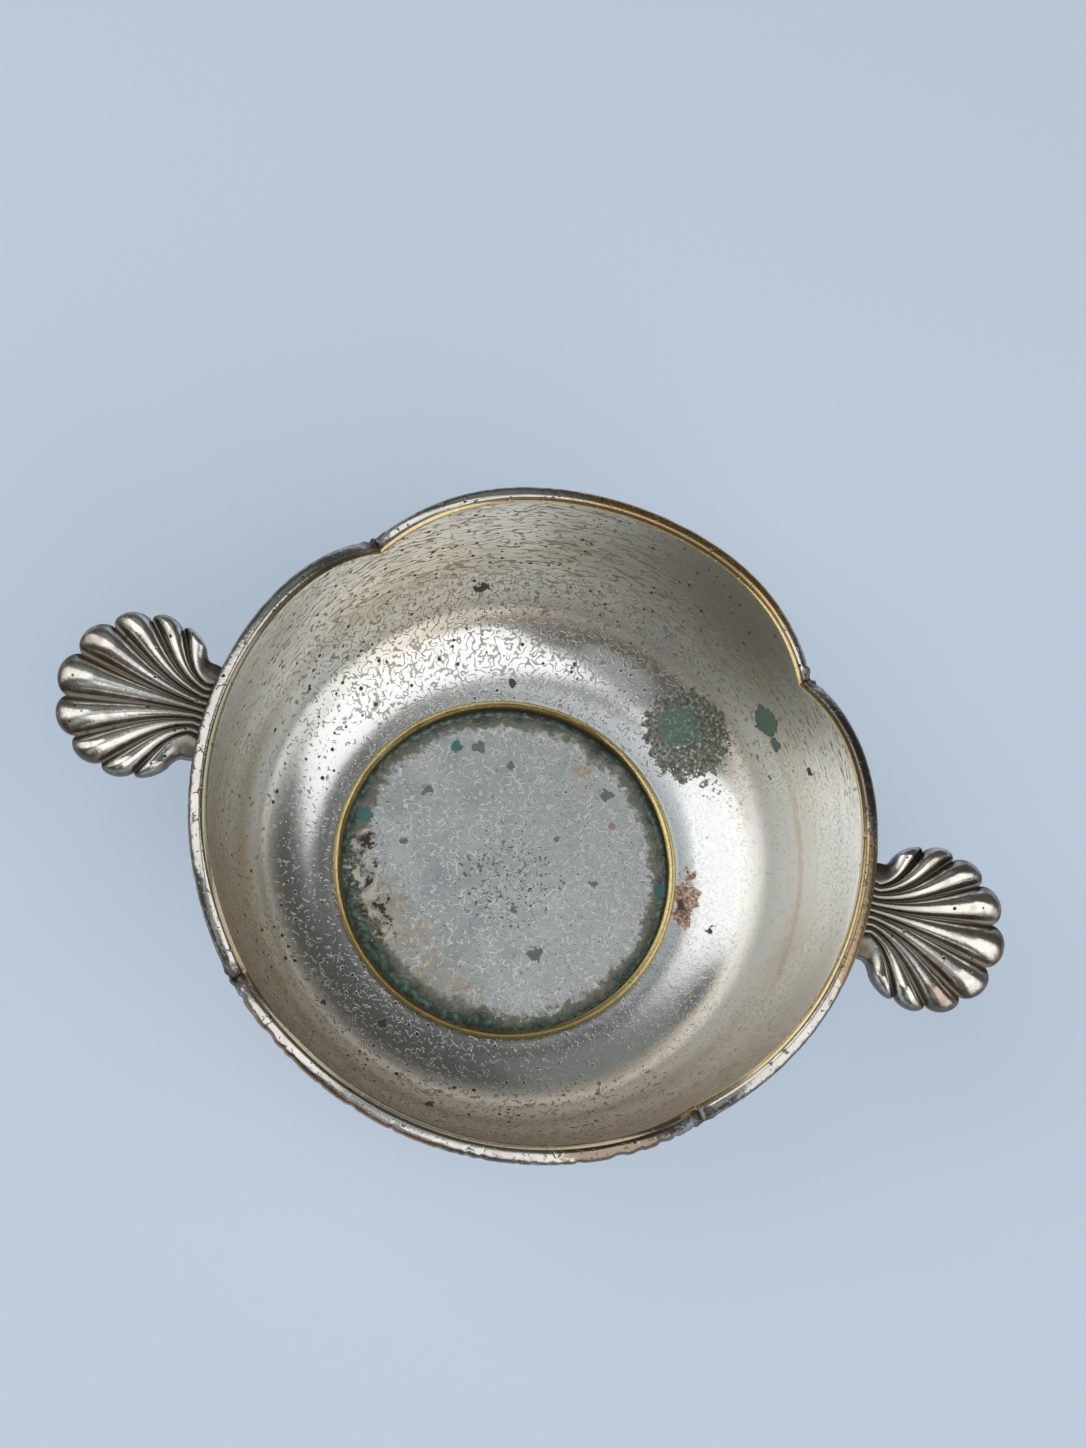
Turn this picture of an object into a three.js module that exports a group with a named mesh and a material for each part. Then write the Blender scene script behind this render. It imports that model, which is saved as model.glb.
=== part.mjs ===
// A two-handled trinket dish: a deep bowl of silver-plated brass sheet whose edge is cut into four
// arches, with a wire round the outside of each arch, a flat pan let into its bottom and two cast
// shell handles. Millimetres, +Z up. The origin is on the table under the middle of the dish, and
// the handles lie along X.
import * as THREE from 'three';

// The bowl
const RIM_HEIGHT = 44.5;      // table to the top of an arch
const RIM_RADIUS = 53.1;      // inside of the wall at the top of an arch
const SHEET = 0.8;            // thickness of the bowl's sheet and of the pan's
const SOLDER_GAP = 0.3;       // room for solder between neighbouring pieces
const SHOULDER_REACH = 20.9;  // how far out the wall's line keeps the shoulder's direction
const SHOULDER_LIFT = 1.0;    // rise of the shoulder over that reach
const WALL_REACH = 15.8;      // how far down the wall's line keeps the rim's direction
const WALL_LEAN = 1.2;        // how far the wall leans out over that reach

// The four arches of the rim and the notches between them
const ARCHES = 4;
const NOTCH_DEPTH = 8.7;      // top of an arch to the point of a notch
const NOTCH_REACH = 33;       // degrees from a notch to where the arch is level
const NOTCH_POWER = 2.9;      // how sharply the arch falls into the notch

// The rim wire
const WIRE_WIDTH = 1.9;
const WIRE_HEIGHT = 2.2;
const WIRE_FULLNESS = 0.75;   // 1 gives half a round, and less flattens its top and its side

// The pan in the bottom
const PAN_RADIUS = 30.2;      // outside of the pan's upstand
const WELL_DEPTH = 3.0;       // crest of the pan's lip to its floor
const LIP_WIDTH = 1.4;
const LIP_HEIGHT = 0.55;
const PAN_CORNER = 1.0;       // radius where the floor meets the upstand, inside

// A shell handle, seen from above with its root on the -X side
const OUTER_LOBE = 4;         // lobes on each side of the middle one
const FAN_CENTRE = 66.0;      // X of the middle of the fan
const FAN_LENGTH = 11.3;      // middle of the fan to the middle of the middle lobe's round end
const FAN_WIDTH = 11.9;       // the same for the lobes that point sideways
const FAN_STEP = 36;          // degrees from the middle lobe to the next
const FAN_EASE = 1.6;         // degrees by which the fan closes up, per lobe squared
const LOBE_RADIUS = 3.0;      // round end of the middle lobe
const LOBE_TAPER = 0.04;      // by which a lobe's end is smaller, per lobe squared
const LOBE_TURN = 0.56;       // heading of a lobe's end, as a share of its angle on the fan
const LOBE_NICK = 1.25;       // how far the nick between two lobes lies beyond their ends' middles
const END_TURN = 135;         // degrees that an end lobe's outline goes round past its crown
const END_TUCK = 0.85;        // how far from the middle of its round end it stops, as a share of the radius
const ROOT_X = 57.3;          // where the lobes begin
const ROOT_PITCH = 1.2;       // lobe to lobe at the root
const ROOT_FAN = 6;           // degrees by which the lobes' beginnings spread, per lobe
const NECK_HALF = 8.1;        // half the width of the handle where the lobes begin
const ROOT_HALF = 7.2;        // half its width where it meets the wall
const LOBE_BOW = 0.36;        // length of a lobe's end curves, as a share of its length
const HANDLE_DROP = 5.8;      // top of the rim to the back of the handle
const RIGHT_SKEW = 1.25;      // degrees by which the right handle was soldered off the X axis
const EDGE_THICKNESS = 0.8;
const ROOT_THICKNESS = 2.4;
const RIDGE_HEIGHT = 2.4;     // of a lobe over the groove beside it
const ROOT_RIDGE = 0.25;      // the same at the root, as a share of that
const CAP_START = 0.76;       // where a lobe begins to round down to its end

// Facets
const HALF_ARCH_STEPS = 12;
const STEP_CROWDING = 1.5;    // draws the steps together towards the notches
const WALL_STEPS = 8;
const WIRE_STEPS = 7;
const PAN_STEPS = 64;
const LIP_STEPS = 6;
const CORNER_STEPS = 4;
const LOBE_STEPS = 6;
const STREAM_STEPS = 8;
const SEARCH_STEPS = 40;

// Places that follow from these
const LIP_CREST = SHEET + WELL_DEPTH;
const LIP_UNDERSIDE = LIP_CREST - LIP_HEIGHT;
const SHOULDER_HEIGHT = LIP_UNDERSIDE - SOLDER_GAP;
const OPENING_RADIUS = PAN_RADIUS + SOLDER_GAP;
const QUARTER_TURN = Math.PI / 2;
const radians = THREE.MathUtils.degToRad;

// A solid from closed loops of points, each loop joined to the next. A solid that goes all the way
// round joins its last loop to its first, and any other is closed by a strip across each end loop.
function sweptSolid(loops, goesRound) {
  const size = loops[0].length;
  const spans = goesRound ? loops.length : loops.length - 1;
  const faces = [];
  for (let i = 0; i < spans; i += 1) {
    const here = i * size;
    const next = ((i + 1) % loops.length) * size;
    for (let k = 0; k < size; k += 1) {
      const after = (k + 1) % size;
      faces.push(here + k, next + after, next + k);
      faces.push(here + k, here + after, next + after);
    }
  }
  if (!goesRound) {
    const last = (loops.length - 1) * size;
    for (let k = 0; k < size / 2 - 1; k += 1) {
      const across = size - 1 - k;
      faces.push(k, across - 1, k + 1);
      faces.push(k, across, across - 1);
      faces.push(last + k, last + k + 1, last + across - 1);
      faces.push(last + k, last + across - 1, last + across);
    }
  }
  const geometry = new THREE.BufferGeometry();
  geometry.setFromPoints(loops.flat());
  geometry.setIndex(faces);
  geometry.computeVertexNormals();
  return geometry;
}

// The inner line of the bowl's wall, as radius and height, from the opening up to the top of an arch
const wallLine = new THREE.CubicBezierCurve(
  new THREE.Vector2(OPENING_RADIUS, SHOULDER_HEIGHT),
  new THREE.Vector2(OPENING_RADIUS + SHOULDER_REACH, SHOULDER_HEIGHT + SHOULDER_LIFT),
  new THREE.Vector2(RIM_RADIUS - WALL_LEAN, RIM_HEIGHT - WALL_REACH),
  new THREE.Vector2(RIM_RADIUS, RIM_HEIGHT),
);

function wallTravelAt(height) {
  let low = 0;
  let high = 1;
  for (let i = 0; i < SEARCH_STEPS; i += 1) {
    const middle = (low + high) / 2;
    if (wallLine.getPoint(middle).y < height) low = middle;
    else high = middle;
  }
  return (low + high) / 2;
}

function outsideOfWall(travel) {
  const point = wallLine.getPoint(travel);
  const along = wallLine.getTangent(travel);
  return new THREE.Vector2(point.x + SHEET * along.y, point.y - SHEET * along.x);
}

// Share of an arch's way down into the notch that lies fromNotch radians away
function notchShare(fromNotch) {
  return Math.max(0, 1 - fromNotch / radians(NOTCH_REACH));
}

function rimHeight(fromNotch) {
  return RIM_HEIGHT - NOTCH_DEPTH * notchShare(fromNotch) ** NOTCH_POWER;
}

// Rise of the rim for each millimetre round the bowl
function rimSlope(fromNotch) {
  const perRadian = NOTCH_DEPTH * NOTCH_POWER / radians(NOTCH_REACH);
  return perRadian * notchShare(fromNotch) ** (NOTCH_POWER - 1) / RIM_RADIUS;
}

// Angles over one arch, measured from its middle, from one notch to the next
function archAngles() {
  const half = Math.PI / ARCHES;
  const angles = [];
  for (let i = -HALF_ARCH_STEPS; i <= HALF_ARCH_STEPS; i += 1) {
    const fromNotch = half * (1 - Math.abs(i) / HALF_ARCH_STEPS) ** STEP_CROWDING;
    angles.push(Math.sign(i) * (half - fromNotch));
  }
  return angles;
}

function fromNotchAt(angle) {
  return Math.PI / ARCHES - Math.abs(angle);
}

function around(radius, angle, height) {
  return new THREE.Vector3(radius * Math.cos(angle), radius * Math.sin(angle), height);
}

// The bowl's wall: one loop of inner and outer points for each angle
function bowlWall() {
  const loops = [];
  for (let arch = 0; arch < ARCHES; arch += 1) {
    for (const angle of archAngles().slice(1)) {
      const rimTravel = wallTravelAt(rimHeight(fromNotchAt(angle)));
      const turned = angle + arch * QUARTER_TURN;
      const inside = [];
      const outside = [];
      for (let k = 0; k <= WALL_STEPS; k += 1) {
        const travel = rimTravel * k / WALL_STEPS;
        const inner = wallLine.getPoint(travel);
        const outer = outsideOfWall(travel);
        inside.push(around(inner.x, turned, inner.y));
        outside.unshift(around(outer.x, turned, outer.y));
      }
      loops.push([...inside, ...outside]);
    }
  }
  return sweptSolid(loops, true);
}

// One rim wire over the arch round +X: a flattened half-round section that stays upright, so that
// the ends of two wires meet in a mitre, and that grows taller where the rim slopes
function rimWire() {
  const mitre = SOLDER_GAP / 2 / RIM_RADIUS;
  const limit = Math.PI / ARCHES - mitre;
  const loops = archAngles().map((archAngle) => {
    const angle = THREE.MathUtils.clamp(archAngle, -limit, limit);
    const fromNotch = fromNotchAt(angle);
    const height = rimHeight(fromNotch);
    const flatSide = outsideOfWall(wallTravelAt(height)).x + SOLDER_GAP;
    const half = WIRE_HEIGHT / 2 * Math.hypot(1, rimSlope(fromNotch));
    const section = [];
    for (let k = 0; k <= WIRE_STEPS; k += 1) {
      const turn = Math.PI * (0.5 - k / WIRE_STEPS);
      const out = Math.max(0, Math.cos(turn)) ** WIRE_FULLNESS;
      const up = Math.sign(turn) * Math.abs(Math.sin(turn)) ** WIRE_FULLNESS;
      section.push(around(flatSide + WIRE_WIDTH * out, angle, height - half + half * up));
    }
    return section;
  });
  return sweptSolid(loops, false);
}

// The pan: a flat floor, an upstand and a round lip that laps over the bowl's shoulder
function basePan() {
  const inner = PAN_RADIUS - SHEET;
  const lipMiddle = inner + LIP_WIDTH / 2;
  const cornerMiddle = new THREE.Vector2(inner - PAN_CORNER, SHEET + PAN_CORNER);
  const bottomCorner = PAN_CORNER / 2;
  const profile = [
    new THREE.Vector2(0, 0),
    new THREE.Vector2(PAN_RADIUS - bottomCorner, 0),
    new THREE.Vector2(PAN_RADIUS, bottomCorner),
    new THREE.Vector2(PAN_RADIUS, LIP_UNDERSIDE),
  ];
  for (let k = 0; k <= LIP_STEPS; k += 1) {
    const turn = Math.PI * k / LIP_STEPS;
    const radius = lipMiddle + LIP_WIDTH / 2 * Math.cos(turn);
    profile.push(new THREE.Vector2(radius, LIP_UNDERSIDE + LIP_HEIGHT * Math.sin(turn)));
  }
  for (let k = 0; k <= CORNER_STEPS; k += 1) {
    const turn = -QUARTER_TURN * k / CORNER_STEPS;
    profile.push(new THREE.Vector2(
      cornerMiddle.x + PAN_CORNER * Math.cos(turn),
      cornerMiddle.y + PAN_CORNER * Math.sin(turn),
    ));
  }
  profile.push(new THREE.Vector2(0, SHEET));
  return new THREE.LatheGeometry(profile, PAN_STEPS).rotateX(QUARTER_TURN);
}

// Angle on the fan of a lobe, or of a line between two lobes, counted from the middle lobe
function fanAngle(lobe) {
  return Math.sign(lobe) * radians(FAN_STEP * Math.abs(lobe) - FAN_EASE * lobe * lobe);
}

function step(from, length, angle) {
  return new THREE.Vector2(from.x + length * Math.cos(angle), from.y + length * Math.sin(angle));
}

function lobeEnd(lobe) {
  const angle = fanAngle(lobe);
  return new THREE.Vector2(FAN_CENTRE + FAN_LENGTH * Math.cos(angle), FAN_WIDTH * Math.sin(angle));
}

function lobeRadius(lobe) {
  return LOBE_RADIUS - LOBE_TAPER * lobe * lobe;
}

// The nick in the outline on one side of a lobe: shared by two lobes, or free at the ends of the fan
function nick(lobe, side) {
  const heading = LOBE_TURN * fanAngle(lobe);
  if (Math.abs(lobe + side) > OUTER_LOBE) {
    return step(lobeEnd(lobe), END_TUCK * lobeRadius(lobe), heading + side * radians(END_TURN));
  }
  const middle = lobeEnd(lobe).add(lobeEnd(lobe + side)).multiplyScalar(0.5);
  return step(middle, LOBE_NICK, LOBE_TURN * fanAngle(lobe + side / 2));
}

// The scalloped outline of one lobe: half an ellipse from nick to nick over the lobe's crown
function outlinePoint(lobe, share) {
  const left = nick(lobe, 1);
  const right = nick(lobe, -1);
  const middle = left.clone().add(right).multiplyScalar(0.5);
  const halfChord = left.clone().sub(right).multiplyScalar(0.5);
  const crown = step(lobeEnd(lobe), lobeRadius(lobe), LOBE_TURN * fanAngle(lobe)).sub(middle);
  const rise = Math.sqrt(1 - share * share);
  return middle.addScaledVector(halfChord, share).addScaledVector(crown, rise);
}

// Where a line of the shell begins: the lobes close together, and the outer flanks of the two end
// lobes spread out to the sides of the neck
function rootPoint(place) {
  const ridges = ROOT_PITCH * Math.min(Math.abs(place), OUTER_LOBE);
  const flank = 2 * Math.max(0, Math.abs(place) - OUTER_LOBE);
  const outward = ridges + (NECK_HALF - ROOT_PITCH * OUTER_LOBE) * flank;
  return new THREE.Vector2(ROOT_X, Math.sign(place) * outward);
}

// The line that a lobe's ridge or groove follows from the root to the outline
function streamLine(lobe, share) {
  const place = lobe + share / 2;
  const heading = LOBE_TURN * fanAngle(place);
  const start = rootPoint(place);
  const end = outlinePoint(lobe, share);
  const bow = LOBE_BOW * start.distanceTo(end);
  const first = step(start, bow, radians(ROOT_FAN) * place);
  return new THREE.CubicBezierCurve(start, first, step(end, -bow, heading), end);
}

// Height of the handle's front over its back, by the share of the way from the root to the outline
// and by the share of the way from a lobe's ridge to the groove beside it
function handleThickness(travel, share) {
  const plate = EDGE_THICKNESS + (ROOT_THICKNESS - EDGE_THICKNESS) * (1 - travel) ** 2;
  const swell = ROOT_RIDGE + (1 - ROOT_RIDGE) * Math.min(1, travel / CAP_START);
  const past = Math.max(0, travel - CAP_START) / (1 - CAP_START);
  return plate + RIDGE_HEIGHT * swell * Math.sqrt(Math.max(0, 1 - share * share) * (1 - past * past));
}

function shellHandle() {
  const back = RIM_HEIGHT - HANDLE_DROP;
  const wallRadius = outsideOfWall(wallTravelAt(back + ROOT_THICKNESS)).x + SOLDER_GAP;
  const halfCount = OUTER_LOBE + 0.5;
  const loops = [];
  for (let i = 0; i <= (2 * OUTER_LOBE + 1) * LOBE_STEPS; i += 1) {
    const across = i / LOBE_STEPS - halfCount;
    const lobe = THREE.MathUtils.clamp(Math.round(across), -OUTER_LOBE, OUTER_LOBE);
    const share = Math.sin(Math.PI * (across - lobe));
    const place = lobe + share / 2;
    const line = streamLine(lobe, share);
    const wallAngle = ROOT_HALF * place / halfCount / wallRadius;
    const front = [around(wallRadius, wallAngle, back + handleThickness(0, share))];
    const rear = [around(wallRadius, wallAngle, back)];
    for (let k = 0; k <= STREAM_STEPS; k += 1) {
      const travel = Math.sin(QUARTER_TURN * k / STREAM_STEPS);
      const point = line.getPoint(travel);
      front.push(new THREE.Vector3(point.x, point.y, back + handleThickness(travel, share)));
      rear.unshift(new THREE.Vector3(point.x, point.y, back));
    }
    loops.push([...front, ...rear]);
  }
  return sweptSolid(loops, false);
}

// Finishes: silver plate, cleanest on the wall and worn thin on the rim, and dark in the castings
const WALL_FINISH = { color: 0xb9b6ae, roughness: 0.32, metalness: 1 };
const PAN_FINISH = { color: 0xa9acab, roughness: 0.42, metalness: 1 };
const WIRE_FINISH = { color: 0xb3aa9a, roughness: 0.3, metalness: 1 };
const HANDLE_FINISH = { color: 0x98928a, roughness: 0.34, metalness: 1 };

const dish = new THREE.Group();

function addPiece(name, geometry, finish, turn) {
  const piece = new THREE.Mesh(geometry, new THREE.MeshStandardMaterial(finish));
  piece.name = name;
  piece.rotation.z = turn;
  dish.add(piece);
}

addPiece('bowl_wall', bowlWall(), WALL_FINISH, 0);
addPiece('base_pan', basePan(), PAN_FINISH, 0);
['right', 'far', 'left', 'near'].forEach((side, k) => {
  addPiece(`rim_wire_${side}`, rimWire(), WIRE_FINISH, k * QUARTER_TURN);
});
addPiece('shell_handle_right', shellHandle(), HANDLE_FINISH, radians(RIGHT_SKEW));
addPiece('shell_handle_left', shellHandle(), HANDLE_FINISH, Math.PI);

export default dish;
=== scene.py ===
# The looks of a two-handled trinket dish: raised brass sheet with worn silver plate, a rim wire on
# each of its four arches, a flat pan in its bottom and two cast shell handles.
import math

import bmesh
import bpy
from mathutils import Matrix, Vector, noise


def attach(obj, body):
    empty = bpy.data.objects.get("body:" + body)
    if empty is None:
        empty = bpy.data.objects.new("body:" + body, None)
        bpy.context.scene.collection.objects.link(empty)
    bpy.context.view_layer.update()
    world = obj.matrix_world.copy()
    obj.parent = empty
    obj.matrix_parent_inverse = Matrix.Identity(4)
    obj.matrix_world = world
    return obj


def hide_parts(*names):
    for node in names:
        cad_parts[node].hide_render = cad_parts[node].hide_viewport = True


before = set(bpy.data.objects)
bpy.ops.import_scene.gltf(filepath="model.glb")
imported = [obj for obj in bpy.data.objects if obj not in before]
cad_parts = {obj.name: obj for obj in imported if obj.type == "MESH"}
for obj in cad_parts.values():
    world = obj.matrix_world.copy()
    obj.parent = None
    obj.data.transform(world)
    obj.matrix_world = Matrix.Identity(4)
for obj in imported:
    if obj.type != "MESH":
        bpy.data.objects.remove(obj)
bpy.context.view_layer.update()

MM = 0.001

# The wall and its edge in millimetres, with the radii, heights and notches of the solids
RIM_HEIGHT = 44.5
RIM_RADIUS = 53.1
SHEET = 0.8
NOTCH_DEPTH = 8.7
NOTCH_REACH = math.radians(33)
NOTCH_POWER = 2.9
# Radius and height along the inside of the wall: the ends of its curve and their two handles
WALL_CURVE = [Vector((30.5, 2.95)), Vector((51.4, 3.95)), Vector((51.9, 28.7)),
              Vector((RIM_RADIUS, RIM_HEIGHT))]
WALL_ROWS = 56
TURN_STEPS = 480
MERGE_GAP = 0.0005
HALVINGS = 30
EDGE_ROUND = 0.12
EDGE_ANGLE = math.radians(50)
DENT_DEPTH = 0.07
DENT_SIZE = 14
# The wall laid out for scratches along the turn, which is squeezed so that they come out long
WALL_LENGTH = 58.0
MIDDLE_RADIUS = 45
DASH_SQUEEZE = 0.33

# The pan in the floor, and the rows of its upstand and floor
PAN_RADIUS = 30.2
LIP_WIDTH = 1.4
LIP_HEIGHT = 0.55
LIP_CREST = 3.8
LIP_STEPS = 12
PAN_CORNER = 1.0
CORNER_STEPS = 8
FOOT_ROUND = 0.5
FOOT_BULGE = 0.3
UPSTAND_START = 0.35
UPSTAND_STEP = 0.4
UPSTAND_ROWS = 3
FLOOR_STEP = 4
FLOOR_ROWS = 5
# Crust in the corner of the well: its rows, the band that it lies in, and its lumps
CRUST_STEP = 0.35
CRUST_ROWS = 15
CRUST_START = 22
CRUST_TOP = 2
CRUST_MIDDLE = 1.4
CRUST_REACH = 3.2
CRUST_LUMP = 0.16
CRUST_GRAIN = 1.3

# The rim wires, which reach over the solder gap but stay within the box of the solids by a little play,
# the solder at their ends and the depth of the bites out of their outer edges
WIRE_WIDTH = 1.9
WIRE_HEIGHT = 2.2
WIRE_FULLNESS = 0.75
WIRE_FALL = 0.2
WIRE_STEPS = 280
SECTION_STEPS = 16
SOLDER_GAP = 0.3
BOX_PLAY = 0.06
MITRE_GAP = 0.05
SOLDER_REACH = 3.0
SOLDER_LUMP = 0.7
SOLDER_GRAIN = 0.9
WIRE_BITES = {"right": 0.08, "far": 0.08, "left": 0.08, "near": 0.4}
BITE_SIZE = 1.4

# The shell handles: their fan of lobes in plan
OUTER_LOBE = 4
FAN_CENTRE = 66.0
FAN_LENGTH = 11.3
FAN_WIDTH = 11.9
FAN_STEP = 36
FAN_EASE = 1.6
LOBE_RADIUS = 3.0
LOBE_TAPER = 0.04
LOBE_TURN = 0.56
LOBE_NICK = 1.25
LOBE_BOW = 0.36
END_TURN = math.radians(135)
END_TUCK = 0.85
ROOT_X = 57.3
ROOT_PITCH = 1.2
ROOT_FAN = math.radians(6)
ROOT_HALF = 7.2
ROOT_CLEAR = 0.1
NECK_HALF = 8.1
RIGHT_SKEW = math.radians(1.25)
# The handles' heights, how round the outer halves of their end lobes are, and how much painted shade darkens
# those halves
HANDLE_BACK = 38.7
EDGE_THICKNESS = 0.8
ROOT_THICKNESS = 2.4
RIDGE_HEIGHT = 2.4
ROOT_RIDGE = 0.25
CAP_START = 0.76
BEAD_SHARE = 0.9
FILLET_HEIGHT = 0.16
END_ROUND_AT_ROOT = 1.2
END_ROUND_GAIN = 2.0
END_SHADE = 0.9
LOBE_COLUMNS = 20
LOBE_ROWS = 48
ROOT_ROWS = 6


# Shapes shared by the pieces

def on_curve(ends, share):
    """A point on the smooth curve of two ends and two handles"""
    rest = 1 - share
    weights = (rest ** 3, 3 * rest ** 2 * share, 3 * rest * share ** 2, share ** 3)
    return sum((end * weight for end, weight in zip(ends, weights)), Vector((0, 0)))


def wall_travel(height):
    """Share of the wall's curve that lies below a height"""
    low, high = 0.0, 1.0
    for _ in range(HALVINGS):
        middle = (low + high) / 2
        if on_curve(WALL_CURVE, middle).y < height:
            low = middle
        else:
            high = middle
    return (low + high) / 2


def from_notch(angle):
    """Angle from the nearest notch, of which there is one half way between any two axes"""
    return abs((angle % (math.pi / 2)) - math.pi / 4)


def notch_share(angle):
    return max(0.0, 1 - from_notch(angle) / NOTCH_REACH)


def rim_height(angle):
    return RIM_HEIGHT - NOTCH_DEPTH * notch_share(angle) ** NOTCH_POWER


def rim_slope(angle):
    return NOTCH_DEPTH * NOTCH_POWER / NOTCH_REACH * notch_share(angle) ** (NOTCH_POWER - 1) / RIM_RADIUS


def around(radius, angle, height):
    return Vector((radius * math.cos(angle), radius * math.sin(angle), height))


def drawn_line(bm, points):
    """A line drawn out of one vertex through all the points"""
    last = bm.verts.new(points[0])
    for point in points[1:]:
        last = bmesh.ops.extrude_vert_indiv(bm, verts=[last])["verts"][0]
        last.co = point


def spun(bm, angle, steps):
    """The drawn line turned about the dish's axis"""
    closed = angle == 2 * math.pi
    bmesh.ops.spin(bm, geom=bm.verts[:] + bm.edges[:], cent=(0, 0, 0), axis=(0, 0, 1), dvec=(0, 0, 0),
                   angle=angle, steps=steps, use_merge=closed, use_normal_flip=False, use_duplicate=False)
    bmesh.ops.remove_doubles(bm, verts=bm.verts[:], dist=MERGE_GAP)


def dented(bm, depth, size):
    """Moves the surface in and out by a little, as use has left it"""
    bm.normal_update()
    for vert in bm.verts:
        vert.co += vert.normal * depth * noise.noise(vert.co / size)


def piece(name, bm, slot, material, *nodes):
    """A finished piece of the dish, from a mesh in millimetres, in place of its solids"""
    bmesh.ops.scale(bm, vec=(MM, MM, MM), verts=bm.verts[:])
    mesh = bpy.data.meshes.new(name)
    bm.to_mesh(mesh)
    bm.free()
    for face in mesh.polygons:
        face.use_smooth = True
    made = bpy.data.objects.new(name, mesh)
    bpy.context.scene.collection.objects.link(made)
    mesh.materials.append(material)
    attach(made, "root")
    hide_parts(*nodes)
    return made


# The pieces

def bowl(material):
    """The wall: its curve spun round, the edge lowered at the notches, and the sheet's thickness outside"""
    bm = bmesh.new()
    below_rim = bm.verts.layers.float.new("below_rim")
    drag = bm.verts.layers.float_vector.new("drag")
    curve = [on_curve(WALL_CURVE, k / WALL_ROWS) for k in range(WALL_ROWS + 1)]
    drawn_line(bm, [(p.x, 0, p.y) for p in curve])
    spun(bm, 2 * math.pi, TURN_STEPS)
    lowered = {}
    for vert in bm.verts:
        angle = math.atan2(vert.co.y, vert.co.x)
        key = round(math.degrees(from_notch(angle)), 3)
        if key not in lowered:
            lowered[key] = wall_travel(rim_height(angle))
        travel = wall_travel(vert.co.z) * lowered[key]
        place = on_curve(WALL_CURVE, travel)
        vert.co = around(place.x, angle, place.y)
        vert[below_rim] = max(0.0, rim_height(angle) - place.y)
        vert[drag] = around(MIDDLE_RADIUS * DASH_SQUEEZE, angle, travel * WALL_LENGTH)
    bm.faces.ensure_lookup_table()
    bm.normal_update()
    if bm.faces[0].normal.z < 0:
        bmesh.ops.reverse_faces(bm, faces=bm.faces[:])
    dented(bm, DENT_DEPTH, DENT_SIZE)
    made = piece("bowl", bm, "wall_plate", material, "bowl_wall")
    sheet = made.modifiers.new("sheet", "SOLIDIFY")
    sheet.thickness = SHEET * MM
    sheet.offset = -1
    sheet.use_even_offset = True
    edge = made.modifiers.new("filed_edge", "BEVEL")
    edge.width = EDGE_ROUND * MM
    edge.segments = 3
    edge.profile = 0.5
    edge.limit_method = "ANGLE"
    edge.angle_limit = EDGE_ANGLE


def pan_section():
    """The pan's section, from the middle of its underside round the lip to the middle of its floor"""
    inner = PAN_RADIUS - SHEET
    corner = inner - PAN_CORNER
    under_lip = LIP_CREST - LIP_HEIGHT
    bulge = FOOT_BULGE * FOOT_ROUND
    section = [(0, 0), (PAN_RADIUS - FOOT_ROUND, 0), (PAN_RADIUS - bulge, bulge), (PAN_RADIUS, FOOT_ROUND)]
    section.append((PAN_RADIUS, under_lip))
    for k in range(LIP_STEPS + 1):
        turn = math.pi * k / LIP_STEPS
        out = LIP_WIDTH / 2 * (1 + math.cos(turn))
        section.append((inner + out, under_lip + LIP_HEIGHT * math.sin(turn)))
    section += [(inner, under_lip - UPSTAND_START - UPSTAND_STEP * k) for k in range(UPSTAND_ROWS)]
    for k in range(CORNER_STEPS + 1):
        turn = -math.pi / 2 * k / CORNER_STEPS
        section.append((corner + PAN_CORNER * math.cos(turn), SHEET + PAN_CORNER * (1 + math.sin(turn))))
    section += [(corner - CRUST_STEP * k, SHEET) for k in range(1, CRUST_ROWS + 1)]
    section += [(FLOOR_STEP * k, SHEET) for k in range(FLOOR_ROWS, -1, -1)]
    return section


def pan(material):
    """The floor, its upstand and the rounded lip, spun round, with crust in the corner of the well"""
    bm = bmesh.new()
    drawn_line(bm, [(x, 0, z) for x, z in pan_section()])
    spun(bm, 2 * math.pi, TURN_STEPS)
    bmesh.ops.recalc_face_normals(bm, faces=bm.faces[:])
    inner = PAN_RADIUS - SHEET
    for vert in bm.verts:
        radius = vert.co.xy.length
        if radius > CRUST_START and FOOT_ROUND < vert.co.z < CRUST_TOP:
            lump = 0.5 + noise.fractal(vert.co / CRUST_GRAIN, 1.0, 2.0, 3)
            share = max(0.0, 1 - abs(radius - inner + CRUST_MIDDLE) / CRUST_REACH)
            inward_and_up = Vector((-vert.co.x / radius, -vert.co.y / radius, 1))
            vert.co += inward_and_up * CRUST_LUMP * share * max(0.0, lump)
    piece("floor_pan", bm, "pan_plate", material, "base_pan")


def wire_section():
    """The wire's section at the top of an arch: a flattened half-round with its flat side on the wall"""
    flat_side = RIM_RADIUS + SHEET
    width = WIRE_WIDTH + SOLDER_GAP - BOX_PLAY
    section = [(flat_side, RIM_HEIGHT - WIRE_HEIGHT)]
    for k in range(1, SECTION_STEPS + 1):
        slant = math.pi * (k / SECTION_STEPS - 0.5)
        out = max(0.0, math.cos(slant)) ** WIRE_FULLNESS
        up = math.copysign(abs(math.sin(slant)) ** WIRE_FULLNESS, slant)
        section.append((flat_side + width * out, RIM_HEIGHT - WIRE_HEIGHT / 2 * (1 - up)))
    return section


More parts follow.
